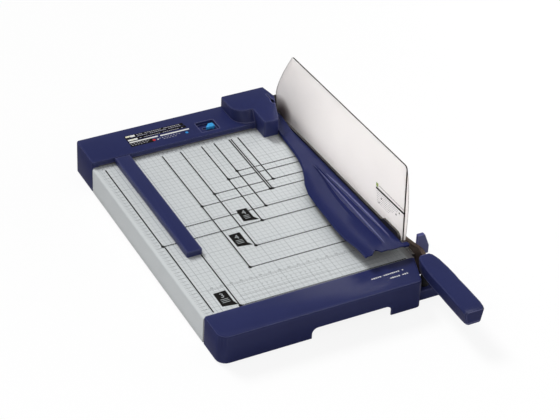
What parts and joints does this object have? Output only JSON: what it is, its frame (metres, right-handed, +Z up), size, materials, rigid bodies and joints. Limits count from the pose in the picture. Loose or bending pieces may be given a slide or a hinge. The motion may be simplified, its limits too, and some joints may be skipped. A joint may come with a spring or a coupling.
{
  "type": "lever paper cutter",
  "caption": "Desk paper cutter with a rigid printed table, a swinging blade on a long lever, a sprung paper clamp with a clear guard, and a sliding gauge",
  "frame": {"origin": "centre of the bounding box in X and Y, on the plane that the feet stand on", "axes": "X across the table towards the blade, Y back along the cutting line, Z up"},
  "size_m": [0.4792, 0.802, 0.2535],
  "materials": {
    "navy_plastic": "moulded, fine grain, satin",
    "painted_bed": "light grey enamel with printed measuring lines",
    "zinc_steel": "zinc plated, dull",
    "blade_steel": "ground",
    "lever_steel": "ground and oiled, brownish",
    "screw_steel": "bright plated",
    "dark_steel": "black paint",
    "clear_plastic": "clear, faintly warm grey",
    "blue_plastic": "moulded, satin",
    "rubber": "matt black"
  },
  "bodies": {
    "base": {"bed_table": "painted_bed", "edge_rail": "zinc_steel", "bed_stiffener_1": "zinc_steel", "bed_stiffener_2": "zinc_steel", "fixed_blade": "blade_steel", "fixed_blade_screw_1": "screw_steel", "fixed_blade_screw_2": "screw_steel", "fixed_blade_screw_3": "screw_steel", "fixed_blade_screw_4": "screw_steel", "front_cap": "navy_plastic", "arm_rest": "navy_plastic", "arm_buffer": "rubber", "rear_head": "navy_plastic", "pivot_housing": "navy_plastic", "pivot_bracket": "dark_steel", "bracket_screw_1": "screw_steel", "bracket_screw_2": "screw_steel", "pivot_bolt": "screw_steel", "pivot_nut": "screw_steel", "pivot_collar": "zinc_steel", "disc_spring": "blade_steel", "stop_pin": "screw_steel", "clamp_bracket": "zinc_steel", "clamp_hinge_pin": "screw_steel", "clamp_spring": "blade_steel", "foot_front_left": "rubber", "foot_front_right": "rubber", "foot_rear_left": "rubber", "foot_rear_right": "rubber"},
    "lever": {"arm_bar": "lever_steel", "moving_blade": "blade_steel", "moving_blade_screw_1": "screw_steel", "moving_blade_screw_2": "screw_steel", "moving_blade_screw_3": "screw_steel", "moving_blade_screw_4": "screw_steel", "handle_grip": "navy_plastic", "handle_base": "navy_plastic", "handle_screw_1": "screw_steel", "handle_screw_2": "screw_steel", "finger_guard": "navy_plastic"},
    "clamp": {"paper_clamp": "navy_plastic", "clamp_pad": "rubber", "guard_rail": "dark_steel", "guard_sheet": "clear_plastic", "guard_screw_1": "screw_steel", "guard_screw_2": "screw_steel", "guard_screw_3": "screw_steel", "guard_screw_4": "screw_steel"},
    "gauge": {"paper_gauge": "navy_plastic", "gauge_runner": "zinc_steel"},
    "slider": {"lock_slider": "blue_plastic", "slider_plate": "zinc_steel"}
  },
  "joints": [
    {"name": "lever_hinge", "type": "hinge", "parent": "base", "child": "lever", "pos_m": [0.21035, 0.355, 0.0497], "axis": [-1, 0, 0], "range_deg": [0, 60]},
    {"name": "clamp_press", "type": "hinge", "parent": "base", "child": "clamp", "pos_m": [0.16835, 0.349, 0.0717], "axis": [1, 0, 0], "range_deg": [0, 2.9], "stiffness_Nm_per_rad": 6, "springref_deg": -20.05},
    {"name": "gauge_slide", "type": "slide", "parent": "base", "child": "gauge", "axis": [1, 0, 0], "range_m": [-0.038, 0.24]},
    {"name": "slider_slide", "type": "slide", "parent": "base", "child": "slider", "axis": [-1, 0, 0], "range_m": [0, 0.011]}
  ]
}
